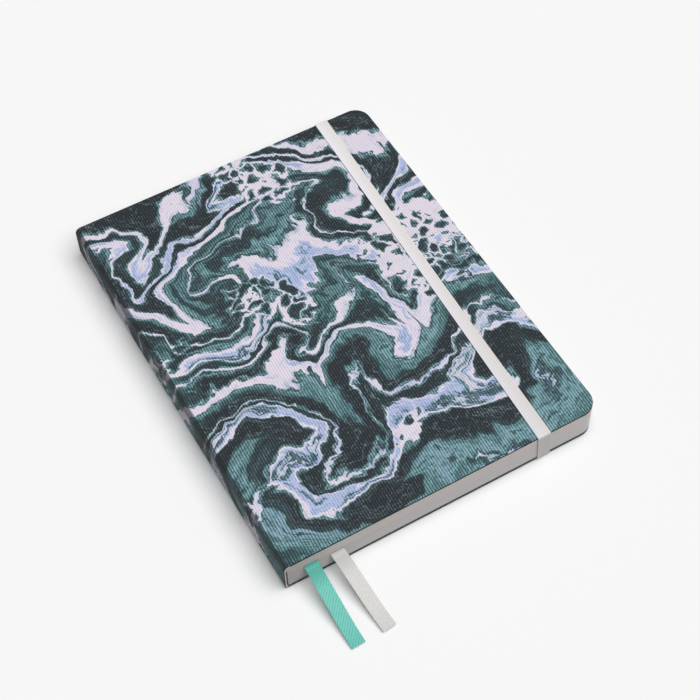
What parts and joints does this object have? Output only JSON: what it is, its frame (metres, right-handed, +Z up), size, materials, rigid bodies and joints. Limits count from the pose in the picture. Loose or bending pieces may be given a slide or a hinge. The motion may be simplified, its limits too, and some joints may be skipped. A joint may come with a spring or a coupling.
{
  "type": "softcover notebook",
  "caption": "Softcover notebook in ribbed marbled cloth, rounded fore-edge corners, squared hollow back, elastic closure, ribbon markers. Both covers open.",
  "frame": {"origin": "middle of the closed book's underside, on the table", "axes": "+X from the spine to the fore-edge, +Y from the tail to the head, +Z up out of the front cover"},
  "size_m": [0.158, 0.2487, 0.018],
  "materials": {
    "cover_cloth": "ribbed cloth with a marbled print",
    "cover_board": "dark cut edge",
    "spine_board": "raw cut edge",
    "endpaper": "matt",
    "pages": "trimmed page edges",
    "lining": "open gauze",
    "elastic": "woven elastic",
    "mint_ribbon": "twill satin",
    "grey_ribbon": "twill satin"
  },
  "bodies": {
    "book_block": {"text_block": "pages", "front_flyleaf": "endpaper", "back_flyleaf": "endpaper", "spine_lining": "lining", "spine_board": "spine_board", "spine_cloth": "cover_cloth", "mint_ribbon": "mint_ribbon", "grey_ribbon": "grey_ribbon"},
    "front_cover": {"front_cloth": "cover_cloth", "front_board": "cover_board", "front_pastedown": "endpaper"},
    "back_cover": {"back_cloth": "cover_cloth", "back_board": "cover_board", "back_pastedown": "endpaper", "elastic_band": "elastic"}
  },
  "joints": [
    {"name": "front_cover_hinge", "type": "hinge", "parent": "book_block", "child": "front_cover", "pos_m": [-0.076, 0, 0.0175], "axis": [0, -1, 0], "range_deg": [0, 180], "deforming": ["elastic_band"]},
    {"name": "back_cover_hinge", "type": "hinge", "parent": "book_block", "child": "back_cover", "pos_m": [-0.0775, 0, 0], "axis": [0, 1, 0], "range_deg": [0, 180], "deforming": ["elastic_band"]}
  ]
}
